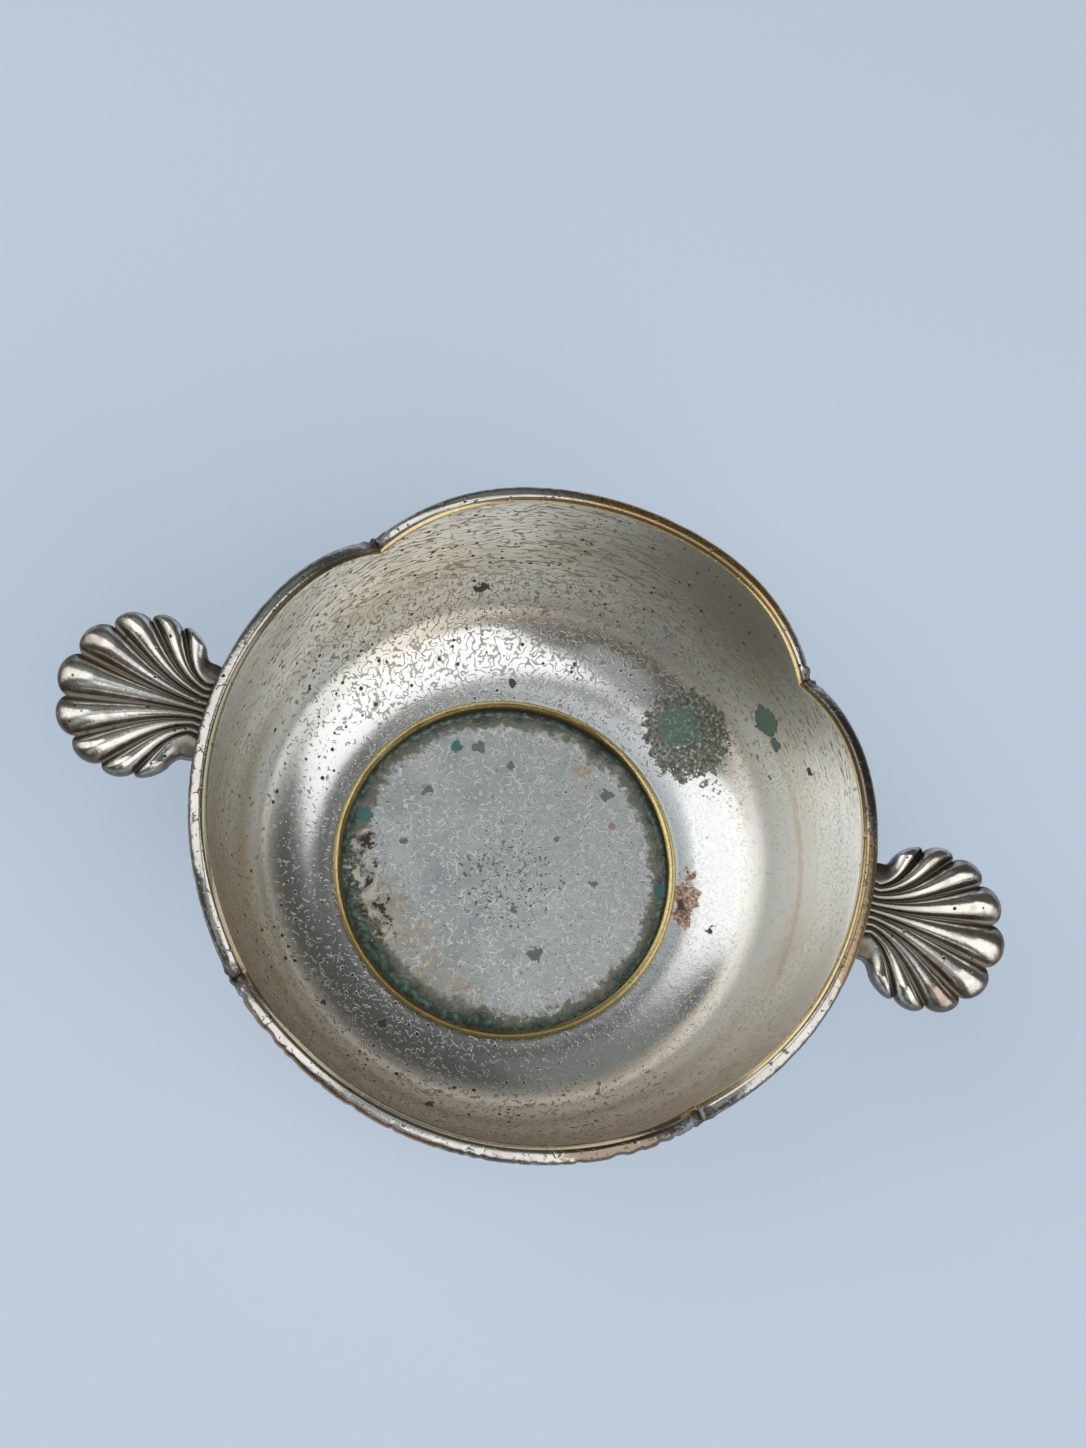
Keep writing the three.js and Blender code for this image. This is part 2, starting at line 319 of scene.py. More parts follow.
def rim_wire(side, turn, material):
    """A wire spun over one arch, lowered with the edge towards the notches, nibbled along its outside and
    lumpy with solder at its ends"""
    bm = bmesh.new()
    flank = bm.verts.layers.float.new("flank")
    solder = bm.verts.layers.float.new("solder")
    drawn_line(bm, [(x, 0, z) for x, z in wire_section()])
    bm.verts.ensure_lookup_table()
    bm.edges.new((bm.verts[-1], bm.verts[0]))
    half = math.pi / 4 - MITRE_GAP / RIM_RADIUS
    bmesh.ops.rotate(bm, cent=(0, 0, 0), matrix=Matrix.Rotation(-half, 3, "Z"), verts=bm.verts[:])
    spun(bm, 2 * half, WIRE_STEPS)
    for vert in bm.verts:
        radius = vert.co.xy.length
        angle = math.atan2(vert.co.y, vert.co.x)
        height = rim_height(angle)
        wall = on_curve(WALL_CURVE, wall_travel(height)).x - RIM_RADIUS
        drop = (RIM_HEIGHT - vert.co.z) * math.hypot(1, rim_slope(angle))
        out = (radius - RIM_RADIUS - SHEET) / WIRE_WIDTH
        near_end = max(0.0, 1 - from_notch(angle) * RIM_RADIUS / SOLDER_REACH)
        bite = max(0.0, noise.noise(around(RIM_RADIUS, angle + turn, 0) / BITE_SIZE))
        bite *= WIRE_BITES[side] * out ** 2
        lump = noise.noise(around(radius, angle + turn, vert.co.z) / SOLDER_GRAIN)
        lump *= SOLDER_LUMP * near_end
        fall = drop + WIRE_FALL * max(0.0, out)
        vert.co = around(radius + wall + lump * out - bite, angle, height - fall + lump)
        vert[flank] = out
        vert[solder] = near_end
    bmesh.ops.holes_fill(bm, edges=bm.edges[:], sides=0)
    bmesh.ops.recalc_face_normals(bm, faces=bm.faces[:])
    bmesh.ops.rotate(bm, cent=(0, 0, 0), matrix=Matrix.Rotation(turn, 3, "Z"), verts=bm.verts[:])
    piece("rim_wire_of_" + side, bm, "wire_plate", material, "rim_wire_" + side)


def fan_angle(lobe):
    return math.copysign(math.radians(FAN_STEP * abs(lobe) - FAN_EASE * lobe * lobe), lobe)


def stepped(start, length, angle):
    return start + length * Vector((math.cos(angle), math.sin(angle)))


def lobe_end(lobe):
    angle = fan_angle(lobe)
    return Vector((FAN_CENTRE + FAN_LENGTH * math.cos(angle), FAN_WIDTH * math.sin(angle)))


def lobe_radius(lobe):
    return LOBE_RADIUS - LOBE_TAPER * lobe * lobe


def nick(lobe, side):
    """The nick in the outline beside a lobe"""
    if abs(lobe + side) > OUTER_LOBE:
        angle = LOBE_TURN * fan_angle(lobe) + side * END_TURN
        return stepped(lobe_end(lobe), END_TUCK * lobe_radius(lobe), angle)
    middle = (lobe_end(lobe) + lobe_end(lobe + side)) / 2
    return stepped(middle, LOBE_NICK, LOBE_TURN * fan_angle(lobe + side / 2))


def stream_line(lobe, share):
    """The line that a lobe's ridge or groove follows from the root to the scalloped outline"""
    left, right = nick(lobe, 1), nick(lobe, -1)
    middle = (left + right) / 2
    crown = stepped(lobe_end(lobe), lobe_radius(lobe), LOBE_TURN * fan_angle(lobe)) - middle
    end = middle + (left - right) / 2 * share + crown * math.sqrt(max(0.0, 1 - share * share))
    place = lobe + share / 2
    past_outer = 2 * max(0.0, abs(place) - OUTER_LOBE)
    outward = ROOT_PITCH * min(abs(place), OUTER_LOBE) + (NECK_HALF - ROOT_PITCH * OUTER_LOBE) * past_outer
    start = Vector((ROOT_X, math.copysign(outward, place)))
    bow = LOBE_BOW * (end - start).length
    outgoing = stepped(start, bow, ROOT_FAN * place)
    incoming = stepped(end, -bow, LOBE_TURN * fan_angle(place))
    return [start, outgoing, incoming, end]


def shell_place(lobe, share, row):
    """A point of the fan in plan, and its share of the way to the end of its lobe. Rows below 0 lead back to
    the wall"""
    line = stream_line(lobe, share)
    if row >= 0:
        travel = math.sin(math.pi / 2 * row / LOBE_ROWS)
        return on_curve(line, travel), travel
    back_step = -row / ROOT_ROWS
    flare = ROOT_HALF * (lobe + share / 2) / (OUTER_LOBE + 0.5)
    spread = line[0].y + (flare - line[0].y) * back_step ** 2
    back = (RIM_RADIUS + SHEET + ROOT_CLEAR - line[0].x) * back_step
    return Vector((line[0].x + back, spread)), 0.0


def handle(side, turn, material):
    """A shell casting: a grid drawn out into nine lobes, with a flat back"""
    lobes = 2 * OUTER_LOBE + 1
    rows = LOBE_ROWS + ROOT_ROWS
    bm = bmesh.new()
    groove = bm.verts.layers.float.new("groove")
    tip = bm.verts.layers.float.new("tip")
    bmesh.ops.create_grid(bm, x_segments=rows, y_segments=lobes * LOBE_COLUMNS, size=0.5)
    for vert in bm.verts:
        across = vert.co.y * lobes
        lobe = max(-OUTER_LOBE, min(OUTER_LOBE, round(across)))
        share = math.sin(math.pi * (across - lobe))
        point, travel = shell_place(lobe, share, (vert.co.x + 0.5) * rows - ROOT_ROWS)
        if abs(lobe + share) > OUTER_LOBE:
            crest = math.sqrt(max(0.0, 1 - abs(share) ** (END_ROUND_AT_ROOT + END_ROUND_GAIN * travel)))
            fillet = 0.0
            # Painted shade on the outer halves of the end lobes, darkest at their outer edges and near the
            # root, carried in the groove attribute
            shade = END_SHADE * abs(share) * math.sqrt(1 - travel)
        else:
            crest = math.sqrt(max(0.0, 1 - (share / BEAD_SHARE) ** 2))
            fillet = FILLET_HEIGHT * max(0.0, 1 - ((1 - abs(share)) / (1 - BEAD_SHARE)) ** 2)
            shade = 0.0
        past = max(0.0, travel - CAP_START) / (1 - CAP_START)
        crest *= math.sqrt(max(0.0, 1 - past * past))
        back_plate = EDGE_THICKNESS + (ROOT_THICKNESS - EDGE_THICKNESS) * (1 - travel) ** 2
        swell = ROOT_RIDGE + (1 - ROOT_RIDGE) * min(1.0, travel / CAP_START)
        ridge = crest + fillet * math.sin(math.pi * travel)
        vert.co = (point.x, point.y, HANDLE_BACK + back_plate + RIDGE_HEIGHT * swell * ridge)
        vert[groove] = 1 - crest + shade
        vert[tip] = travel
    front = bm.faces[:]
    rim = [edge for edge in bm.edges if edge.is_boundary]
    rear = bmesh.ops.duplicate(bm, geom=front)["geom"]
    for element in rear:
        if isinstance(element, bmesh.types.BMVert):
            element.co.z = HANDLE_BACK
    rear_rim = [edge for edge in rear if isinstance(edge, bmesh.types.BMEdge) and edge.is_boundary]
    bmesh.ops.bridge_loops(bm, edges=rim + rear_rim)
    bmesh.ops.recalc_face_normals(bm, faces=bm.faces[:])
    bmesh.ops.rotate(bm, cent=(0, 0, 0), matrix=Matrix.Rotation(turn, 3, "Z"), verts=bm.verts[:])
    piece("shell_handle_of_" + side, bm, "handle_plate", material, "shell_handle_" + side)


# Materials: their patterns are in millimetres, and the noise that breaks them up is of three kinds
CLOUDY = {"Detail": 4.0, "Roughness": 0.62}
SOFT = {"Detail": 2.0, "Roughness": 0.62}
CHIPPED = {"Detail": 6.0, "Roughness": 0.62}
# How far that noise is stretched to fray the edge of a spot, the softness of a pit's edge, and how much finer
# the field that breaks up scratches is than the one that draws them
FRAY_GAIN = 6
PIT_EDGE = 0.12
BREAK_RATE = 1.13

# Places on the wall and directions across the dish
BUFFED_SIDE = Vector((43, 6, 9))
CREAM_SIDE = Vector((-33, 39, 20))
GREY_RIM = Vector((24, 46, 44))
FAR_RIGHT = Vector((0.64, 0.77, 0))
FAR = Vector((0.15, 0.99, 0))
NEAR_LEFT = Vector((-0.6, -0.8, 0))
SCUFFED_MIDDLE = Vector((1, -1, SHEET))

# Spots on the wall: their centres and radii
DAMP_SPOTS = (((24.6, 32.6, 7.0), 8.1), ((30.5, 25.6, 5.6), 0.7), ((32.2, 24.0, 5.7), 0.5))
MOULD_RINGS = (((35.8, 34.8, 20.5), 2.9), ((38.5, 31.6, 19.8), 1.1))
MOSS_SPOTS = (((22.6, 33.8, 6.4), 3.7), ((35.8, 34.8, 20.5), 2.6), ((38.5, 31.6, 19.8), 0.8))
DIRT_SPOTS = (((44.3, 25.8, 26.7), 0.7), ((40.1, 26.4, 15.3), 0.6), ((-18.9, 44.5, 15.9), 1.3),
              ((-24.3, -32.9, 6.2), 0.6), ((-13.3, -33.1, 3.8), 0.7), ((38.1, -0.9, 4.7), 0.5),
              ((-1.8, -45.4, 10.7), 0.7), ((-8.4, 33.4, 3.5), 0.8))
COPPER_SPOTS = (((32.2, 8.2, 3.2), 1.1), ((32.6, 4.6, 3.3), 2.7), ((32.8, 0.8, 3.4), 1.9))
CRUST_SPOTS = (((32.0, 2.9, 3.2), 0.8), ((34.6, 1.0, 3.4), 0.5))

# Spots on the floor: their places in plan and their radii
DARK_SPOTS = ((-17.4, 9.8, 0.8), (-10.5, 20.5, 1.2), (-3.9, 18.7, 0.6), (14.0, 18.9, 1.1), (-18.6, -0.2, 0.6),
              (-4.4, -0.9, 0.5), (7.3, 8.0, 0.7), (10.9, 0.8, 0.5), (16.1, 2.0, 0.5), (3.3, -6.7, 0.7),
              (9.4, -13.3, 1.3))
PINK_SPOTS = ((16.6, 13.5, 0.7),)
BROWN_STAINS = ((-19.0, -12.0, 3.5), (-14.0, -17.0, 4.0), (-7.0, -20.5, 3.2), (-1.0, -22.5, 2.0),
                (8.0, 22.0, 1.5))
BLUE_SPOTS = ((-14.7, 19.5, 1.0), (-26.6, 1.9, 1.3), (28.0, 4.8, 1.2))
FLAKED_SPOTS = ((-23.4, -8.2, 3.6), (-25.0, -3.0, 2.4), (-20.6, -12.8, 3.2), (-17.0, -16.8, 2.2),
                (6.3, -25.4, 0.9))

# Bare stretches of the rim wires: middle and half length in degrees, tone, and start across the wire
BARE_STRETCHES = ((76, 25, "#cfa56b", -0.4), (27, 15, "#6f655a", -0.2), (0, 17, "#b39770", -0.2),
                  (-110, 24, "#b78a68", 1.12), (-62, 13, "#8a7863", -0.2))
STRETCH_FADE = math.radians(6)
STRETCH_FRAY = 0.5


def linear(code):
    """The shader's colour for an sRGB hex code"""
    parts = [int(code[k:k + 2], 16) / 255 for k in (1, 3, 5)]
    return [p / 12.92 if p <= 0.04045 else ((p + 0.055) / 1.055) ** 2.4 for p in parts] + [1.0]


def node(tree, kind, inputs=None, **settings):
    """Adds a node with its settings, and links or sets its inputs"""
    made = tree.nodes.new(kind)
    for name, value in settings.items():
        setattr(made, name, value)
    for socket, value in (inputs or {}).items():
        if isinstance(value, bpy.types.NodeSocket):
            tree.links.new(value, made.inputs[socket])
        else:
            made.inputs[socket].default_value = value
    return made


def new_finish(name):
    """A new material, its node tree, and the place on the dish in millimetres, which its patterns follow"""
    made = bpy.data.materials.new(name)
    made.use_nodes = True
    tree = made.node_tree
    metres = node(tree, "ShaderNodeTexCoord").outputs["Object"]
    place = node(tree, "ShaderNodeVectorMath", {0: metres, "Scale": 1 / MM}, operation="SCALE").outputs[0]
    return made, tree, place


def share_where(tree, *conditions):
    """How much of a mark shows: the product of masks, numbers and smooth passages. A passage is a value, the
    two places that it passes between and, unless they are 0 and 1, its shares at those places"""
    product = None
    for condition in conditions:
        if isinstance(condition, tuple):
            value, start, end, *shares = condition
            low, high = shares or (0.0, 1.0)
            condition = node(tree, "ShaderNodeMapRange", {0: value, 1: start, 2: end, 3: low, 4: high},
                             interpolation_type="SMOOTHSTEP").outputs[0]
        if product is None:
            product = condition
        else:
            product = node(tree, "ShaderNodeMath", {0: product, 1: condition},
                           operation="MULTIPLY").outputs[0]
    return product


def plate(tree, clouds, dark, light, smooth, dull, lumps, depth, metal=1.0):
    """Silver plate between two tones, smoother where it is lighter, over lumps of a depth in millimetres"""
    return {
        "colour": node(tree, "ShaderNodeMix", {0: clouds, 6: linear(dark), 7: linear(light)},
                       data_type="RGBA").outputs[2],
        "rough": node(tree, "ShaderNodeMapRange", {0: clouds, 1: 0.3, 2: 0.7, 3: dull, 4: smooth}).outputs[0],
        "metal": metal,
        "height": node(tree, "ShaderNodeMath", {0: lumps, 1: depth}, operation="MULTIPLY").outputs[0],
    }


def lay_over(tree, surface, conditions, tones, rough, metal=1.0, lift=0.0):
    """Lays a stain, a crust or bare metal over a surface where the conditions hold, in one tone or in two
    tones and the pattern that mixes them, lifted by some millimetres"""
    mask = share_where(tree, *conditions)
    if isinstance(tones, str):
        colour = linear(tones)
    else:
        pattern, first, second = tones
        colour = node(tree, "ShaderNodeMix", {0: pattern, 6: linear(first), 7: linear(second)},
                      data_type="RGBA").outputs[2]
    surface["colour"] = node(tree, "ShaderNodeMix", {0: mask, 6: surface["colour"], 7: colour},
                             data_type="RGBA").outputs[2]
    surface["rough"] = node(tree, "ShaderNodeMix", {0: mask, 2: surface["rough"], 3: rough}).outputs[0]
    surface["metal"] = node(tree, "ShaderNodeMix", {0: mask, 2: surface["metal"], 3: metal}).outputs[0]
    surface["height"] = node(tree, "ShaderNodeMath", {0: mask, 1: lift, 2: surface["height"]},
                             operation="MULTIPLY_ADD").outputs[0]


def finish_with(tree, surface):
    """Gives the finished surface to the shader"""
    shader = tree.nodes["Principled BSDF"]
    bump = node(tree, "ShaderNodeBump", {"Height": surface["height"], "Distance": MM})
    tree.links.new(surface["colour"], shader.inputs["Base Color"])
    tree.links.new(surface["rough"], shader.inputs["Roughness"])
    tree.links.new(surface["metal"], shader.inputs["Metallic"])
    tree.links.new(bump.outputs["Normal"], shader.inputs["Normal"])


def spots(tree, place, frays, marks, fringe, blur=0.1):
    """Ragged spots about their centres: the fringe is how far their edges are broken up"""
    nearest = 1000.0
    for centre, radius in marks:
        gap = node(tree, "ShaderNodeVectorMath", {0: place, 1: centre}, operation="DISTANCE").outputs["Value"]
        past = node(tree, "ShaderNodeMath", {0: gap, 1: radius}, operation="SUBTRACT").outputs[0]
        nearest = node(tree, "ShaderNodeMath", {0: past, 1: nearest}, operation="MINIMUM").outputs[0]
    spread = FRAY_GAIN * fringe
    reach = node(tree, "ShaderNodeMath", {0: frays, 1: spread, 2: nearest},
                 operation="MULTIPLY_ADD").outputs[0]
    edge = spread / 2
    return node(tree, "ShaderNodeMapRange", {0: reach, 1: edge + blur, 2: edge - blur}).outputs[0]


def on_floor(marks):
    """Marks in plan, laid on the floor"""
    return [((x, y, SHEET), radius) for x, y, radius in marks]


def pits(tree, place, pitch, largest):
    """Round pits strewn over a surface"""
    cells = node(tree, "ShaderNodeTexVoronoi", {"Vector": place, "Scale": 1 / pitch}).outputs
    chance = node(tree, "ShaderNodeSeparateColor", {0: cells["Color"]}).outputs["Red"]
    size = node(tree, "ShaderNodeMath", {0: chance, 1: largest / pitch}, operation="MULTIPLY").outputs[0]
    inside = node(tree, "ShaderNodeMath", {0: size, 1: cells["Distance"]}, operation="SUBTRACT").outputs[0]
    return node(tree, "ShaderNodeMapRange", {0: inside, 1: 0.0, 2: PIT_EDGE / pitch}).outputs[0]


def scratches(tree, place, length, width, bareness):
    """Short curled scratches: lines along which a field is half way, as wide as a share of its range, kept
    where a second field is above the bareness. The finest are drawn coarser than real, so that they show"""
    field = node(tree, "ShaderNodeTexNoise", {"Vector": place, "Scale": 1 / length, "Detail": 0.0,
                                              "Distortion": 0.6}).outputs["Fac"]
    off = node(tree, "ShaderNodeMath", {0: field, 1: 0.5}, operation="SUBTRACT").outputs[0]
    off = node(tree, "ShaderNodeMath", {0: off}, operation="ABSOLUTE").outputs[0]
    line = node(tree, "ShaderNodeMapRange", {0: off, 1: width, 2: 0.5 * width}).outputs[0]
    breaks = node(tree, "ShaderNodeTexNoise", {"Vector": place, "Scale": BREAK_RATE / length,
                                               "Detail": 1.0}).outputs["Fac"]
    over = node(tree, "ShaderNodeMath", {0: breaks, 1: bareness}, operation="SUBTRACT").outputs[0]
    kept = node(tree, "ShaderNodeMapRange", {0: over, 1: 0.0, 2: 0.05}).outputs[0]
    return node(tree, "ShaderNodeMath", {0: line, 1: kept}, operation="MULTIPLY").outputs[0]


# The wall's finish

def wall_tones_and_painted_reflection(tree, surface, place, height, frays, from_buffed):
    """Tones of the plate: duller by the floor, warm on the near side, cream at the far left, grey under the
    far rim, and clean where the right side is buffed, with one pink line there that is a painted reflection
    of the brass lip"""
    lay_over(tree, surface, [(height, 9, 5, 0.0, 0.75)], "#dcdddb", rough=0.22)
    to_far = node(tree, "ShaderNodeVectorMath", {0: place, 1: FAR}, operation="DOT_PRODUCT").outputs["Value"]
    film = [(height, 4.5, 8), (to_far, -40, 4, 0.95, 0.05)]
    lay_over(tree, surface, film, "#f6e5d5", rough=0.22, metal=0.97)
    from_cream = node(tree, "ShaderNodeVectorMath", {0: place, 1: CREAM_SIDE},
                      operation="DISTANCE").outputs["Value"]
    lay_over(tree, surface, [(from_cream, 6, 22, 0.7, 0.0)], "#faeedd", rough=0.22)
    buffed = [(from_buffed, 12, 38, 1.0, 0.0), (height, 6, 9)]
    lay_over(tree, surface, buffed, "#fcfcfa", rough=0.29)
    # Painted reflection: the brass lip's reflection, painted as a wandering pink line round the right side at
    # mid height
    wander = node(tree, "ShaderNodeMath", {0: frays, 1: 2.5, 2: height}, operation="MULTIPLY_ADD").outputs[0]
    painted_lip_reflection = [(wander, 19.4, 20.3), (wander, 21.6, 20.7), (from_buffed, 16, 34, 0.45, 0.0)]
    lay_over(tree, surface, painted_lip_reflection, "#e2c1aa", rough=0.26, lift=-0.01)
    from_grey = node(tree, "ShaderNodeVectorMath", {0: place, 1: GREY_RIM},
                     operation="DISTANCE").outputs["Value"]
    lay_over(tree, surface, [(from_grey, 8, 40, 0.95, 0.0)], "#a3a39d", rough=0.3)


def wall_wear(tree, surface, place, height, from_buffed, outwards):
    """Scratches and pits: long ones round the upper wall, curled ones lower down, few where it is buffed and
    fewer outside than inside"""
    used = share_where(tree, (outwards, 0, -1, 0.4, 1.0))
    upper = share_where(tree, used, (height, 12, 24))
    lower = share_where(tree, used, (height, 14, 26, 1.0, 0.0))
    drag = node(tree, "ShaderNodeAttribute", attribute_name="drag").outputs["Vector"]
    long_way = node(tree, "ShaderNodeVectorMath", {0: drag, 1: (0.2, 0.2, 1.0)},
                    operation="MULTIPLY").outputs[0]
    strands = node(tree, "ShaderNodeTexNoise", {"Vector": long_way, "Scale": 1 / 0.7, **SOFT}).outputs["Fac"]
    lines = [(strands, 0.54, 0.7, 0.0, 0.5), (from_buffed, 20, 60, 0.3, 1.0), upper]
    lay_over(tree, surface, lines, "#b3a78f", rough=0.3, metal=0.95, lift=-0.012)

    depth = node(tree, "ShaderNodeSeparateXYZ", {0: place}).outputs["Y"]
    far_bareness = share_where(tree, (depth, 8, 30, 0.56, 0.41))
    near_bareness = share_where(tree, (depth, -8, -30, 0.57, 0.49))
    bareness = node(tree, "ShaderNodeMath", {0: far_bareness, 1: near_bareness},
                    operation="MINIMUM").outputs[0]
    cleaner = share_where(tree, (from_buffed, 15, 55, 0.22, 0.0))
    bareness = node(tree, "ShaderNodeMath", {0: cleaner, 1: bareness}, operation="ADD").outputs[0]
    faint = [scratches(tree, place, 0.9, 0.05, 0.44), (from_buffed, 25, 60, 0.7, 0.0)]
    lay_over(tree, surface, faint, "#e2dfd6", rough=0.32, lift=-0.01)
    bright = [scratches(tree, place, 0.7, 0.028, bareness), 0.3]
    lay_over(tree, surface, bright, "#f2f1ed", rough=0.34, lift=0.008)
    curled = [scratches(tree, place, 1.15, 0.07, bareness), lower]
    lay_over(tree, surface, curled, "#adaaa3", rough=0.4, lift=-0.04)
    dragged = [scratches(tree, drag, 0.85, 0.065, bareness), upper]
    lay_over(tree, surface, dragged, "#b3a792", rough=0.4, metal=0.95, lift=-0.03)
    deep = [pits(tree, place, 1.7, 0.45), (from_buffed, 20, 60, 0.1, 1.0), used]
    lay_over(tree, surface, deep, "#544d45", rough=0.5, metal=0.9, lift=-0.06)


def wall_stains(tree, surface, place, frays, outwards):
    """Verdigris where damp has stood, dirt, and copper that shows through by the floor, all of it inside"""
    inside = share_where(tree, (outwards, 0, -1))
    crumbs = node(tree, "ShaderNodeTexNoise", {"Vector": place, "Scale": 1 / 0.6, **SOFT}).outputs["Fac"]
    damp = [spots(tree, place, frays, DAMP_SPOTS, 1.6), inside, (crumbs, 0.68, 0.58, 0.35, 0.95)]
    mould = (share_where(tree, (crumbs, 0.35, 0.65)), "#52544b", "#969a8e")
    lay_over(tree, surface, damp, mould, rough=0.6, metal=0.5, lift=0.03)
    rings = [spots(tree, place, frays, MOULD_RINGS, 0.9), inside]
    lay_over(tree, surface, rings, "#57594f", rough=0.6, metal=0.5, lift=0.02)
    moss = [spots(tree, place, frays, MOSS_SPOTS, 0.9), inside, (crumbs, 0.66, 0.54, 0.4, 0.95)]
    lay_over(tree, surface, moss, (crumbs, "#475c51", "#88a697"), rough=0.8, metal=0.1, lift=0.05)
    dirt = [spots(tree, place, frays, DIRT_SPOTS, 0.7), inside]
    lay_over(tree, surface, dirt, "#55534b", rough=0.65, metal=0.4, lift=0.02)
    copper = [spots(tree, place, frays, COPPER_SPOTS, 1.1), inside, (crumbs, 0.7, 0.6, 0.2, 0.9)]
    rust = (share_where(tree, (crumbs, 0.35, 0.62)), "#74503c", "#d9b29b")
    lay_over(tree, surface, copper, rust, rough=0.42, metal=0.8, lift=-0.02)
    crust = [spots(tree, place, frays, CRUST_SPOTS, 0.9), inside]
    lay_over(tree, surface, crust, "#5e544a", rough=0.7, metal=0.3, lift=0.04)


def wall_finish():
    """Silver plate on raised brass sheet: a soft mirror, warm with tarnish on the near side, pitted and
    scratched by use, with verdigris where damp has stood and a brass line where the sheet's edge is bare"""
    made, tree, place = new_finish("worn_silver_plate_on_raised_brass")
    height = node(tree, "ShaderNodeSeparateXYZ", {0: place}).outputs["Z"]
    clouds = node(tree, "ShaderNodeTexNoise", {"Vector": place, "Scale": 1 / 9, **CLOUDY}).outputs["Fac"]
    frays = node(tree, "ShaderNodeTexNoise", {"Vector": place, "Scale": 1 / 1.5, **CLOUDY}).outputs["Fac"]
    lumps = node(tree, "ShaderNodeTexNoise", {"Vector": place, "Scale": 1 / 2.2, **SOFT}).outputs["Fac"]
    surface = plate(tree, clouds, "#f0f1ef", "#f9faf8", smooth=0.15, dull=0.23, lumps=lumps, depth=0.022)
    from_buffed = node(tree, "ShaderNodeVectorMath", {0: place, 1: BUFFED_SIDE},
                       operation="DISTANCE").outputs["Value"]
    facing = node(tree, "ShaderNodeNewGeometry").outputs["Normal"]
    from_axis = node(tree, "ShaderNodeVectorMath", {0: place, 1: (1.0, 1.0, 0.0)},
                     operation="MULTIPLY").outputs[0]
    outwards = node(tree, "ShaderNodeVectorMath", {0: facing, 1: from_axis},
                    operation="DOT_PRODUCT").outputs["Value"]
    wall_tones_and_painted_reflection(tree, surface, place, height, frays, from_buffed)
    wall_wear(tree, surface, place, height, from_buffed, outwards)
    wall_stains(tree, surface, place, frays, outwards)
    below_rim = node(tree, "ShaderNodeAttribute", attribute_name="below_rim").outputs["Fac"]
    to_far_right = node(tree, "ShaderNodeVectorMath", {0: place, 1: FAR_RIGHT},
                        operation="DOT_PRODUCT").outputs["Value"]
    brass = (share_where(tree, (to_far_right, -30, 25)), "#93886c", "#dac28b")
    lay_over(tree, surface, [(below_rim, 0.5, 0.25, 0.0, 0.9)], brass, rough=0.22)
    finish_with(tree, surface)
    return made


# The pan's finish

def floor_wear(tree, surface, place, across, clouds, frays):
    """Scratches all over the floor, closest about its middle, and its spots and stains"""
    lay_over(tree, surface, [(across, -12, 22, 0.0, 0.4)], "#eef1f0", rough=0.32, metal=0.6)
    bright = [scratches(tree, place, 1.4, 0.04, 0.4)]
    lay_over(tree, surface, bright, "#f3f5f5", rough=0.35, metal=0.8, lift=0.015)
    grey = [scratches(tree, place, 0.9, 0.045, 0.48)]
    lay_over(tree, surface, grey, "#a9b1b2", rough=0.45, metal=0.8, lift=-0.02)
    from_middle = node(tree, "ShaderNodeVectorMath", {0: place, 1: SCUFFED_MIDDLE},
                       operation="DISTANCE").outputs["Value"]
    gathered = share_where(tree, (from_middle, 3, 14, 0.5, 0.68))
    dark = [scratches(tree, place, 1.0, 0.08, gathered)]
    lay_over(tree, surface, dark, "#6d7371", rough=0.55, metal=0.6, lift=-0.03)

    dark_spots = [spots(tree, place, frays, on_floor(DARK_SPOTS), 0.55)]
    lay_over(tree, surface, dark_spots, "#7d867f", rough=0.7, metal=0.25, lift=0.03)
    pink_spots = [spots(tree, place, frays, on_floor(PINK_SPOTS), 0.15)]
    lay_over(tree, surface, pink_spots, "#b79a8c", rough=0.55, metal=0.5)
    stains = [spots(tree, place, frays, on_floor(BROWN_STAINS), 2.6, blur=1.6), (clouds, 0.3, 0.6, 0.35, 0.9)]
    lay_over(tree, surface, stains, "#b9a78a", rough=0.5, metal=0.4, lift=0.02)


def well_crust(tree, surface, place, radius, frays, waves):
    """Dirt and verdigris in the corner of the well, broadest at the near left, where the plate flakes off"""
    edge = node(tree, "ShaderNodeMath", {0: frays, 1: 5.0, 2: radius}, operation="MULTIPLY_ADD").outputs[0]
    edge = node(tree, "ShaderNodeMath", {0: waves, 1: 5.0, 2: edge}, operation="MULTIPLY_ADD").outputs[0]
    near_left = node(tree, "ShaderNodeVectorMath", {0: place, 1: NEAR_LEFT},
                     operation="DOT_PRODUCT").outputs["Value"]
    broader = share_where(tree, (near_left, 4, 28, 0.0, 1.3))
    edge = node(tree, "ShaderNodeMath", {0: edge, 1: broader}, operation="ADD").outputs[0]
    brown = (frays, "#424135", "#837f6a")
    lay_over(tree, surface, [(edge, 30.6, 32.4, 0.0, 0.85)], brown, rough=0.5, metal=0.35, lift=0.08)
    teal = (share_where(tree, (frays, 0.38, 0.8)), "#343a2e", "#6f958c")
    lay_over(tree, surface, [(edge, 32.6, 33.6, 0.0, 0.9)], teal, rough=0.2, metal=0.3, lift=0.12)
    blue = [spots(tree, place, frays, on_floor(BLUE_SPOTS), 0.5)]
    lay_over(tree, surface, blue, "#4d7f7e", rough=0.6, metal=0.1, lift=0.05)
    flaking = spots(tree, place, frays, on_floor(FLAKED_SPOTS), 1.1, blur=0.7)
    chips = node(tree, "ShaderNodeTexNoise", {"Vector": place, "Scale": 1 / 1.5, **CHIPPED}).outputs["Fac"]
    lay_over(tree, surface, [flaking, (chips, 0.49, 0.54)], "#dcd7ca", rough=0.6, metal=0.3, lift=0.08)
    lay_over(tree, surface, [flaking, (chips, 0.45, 0.4)], "#463f33", rough=0.6, metal=0.3, lift=-0.04)


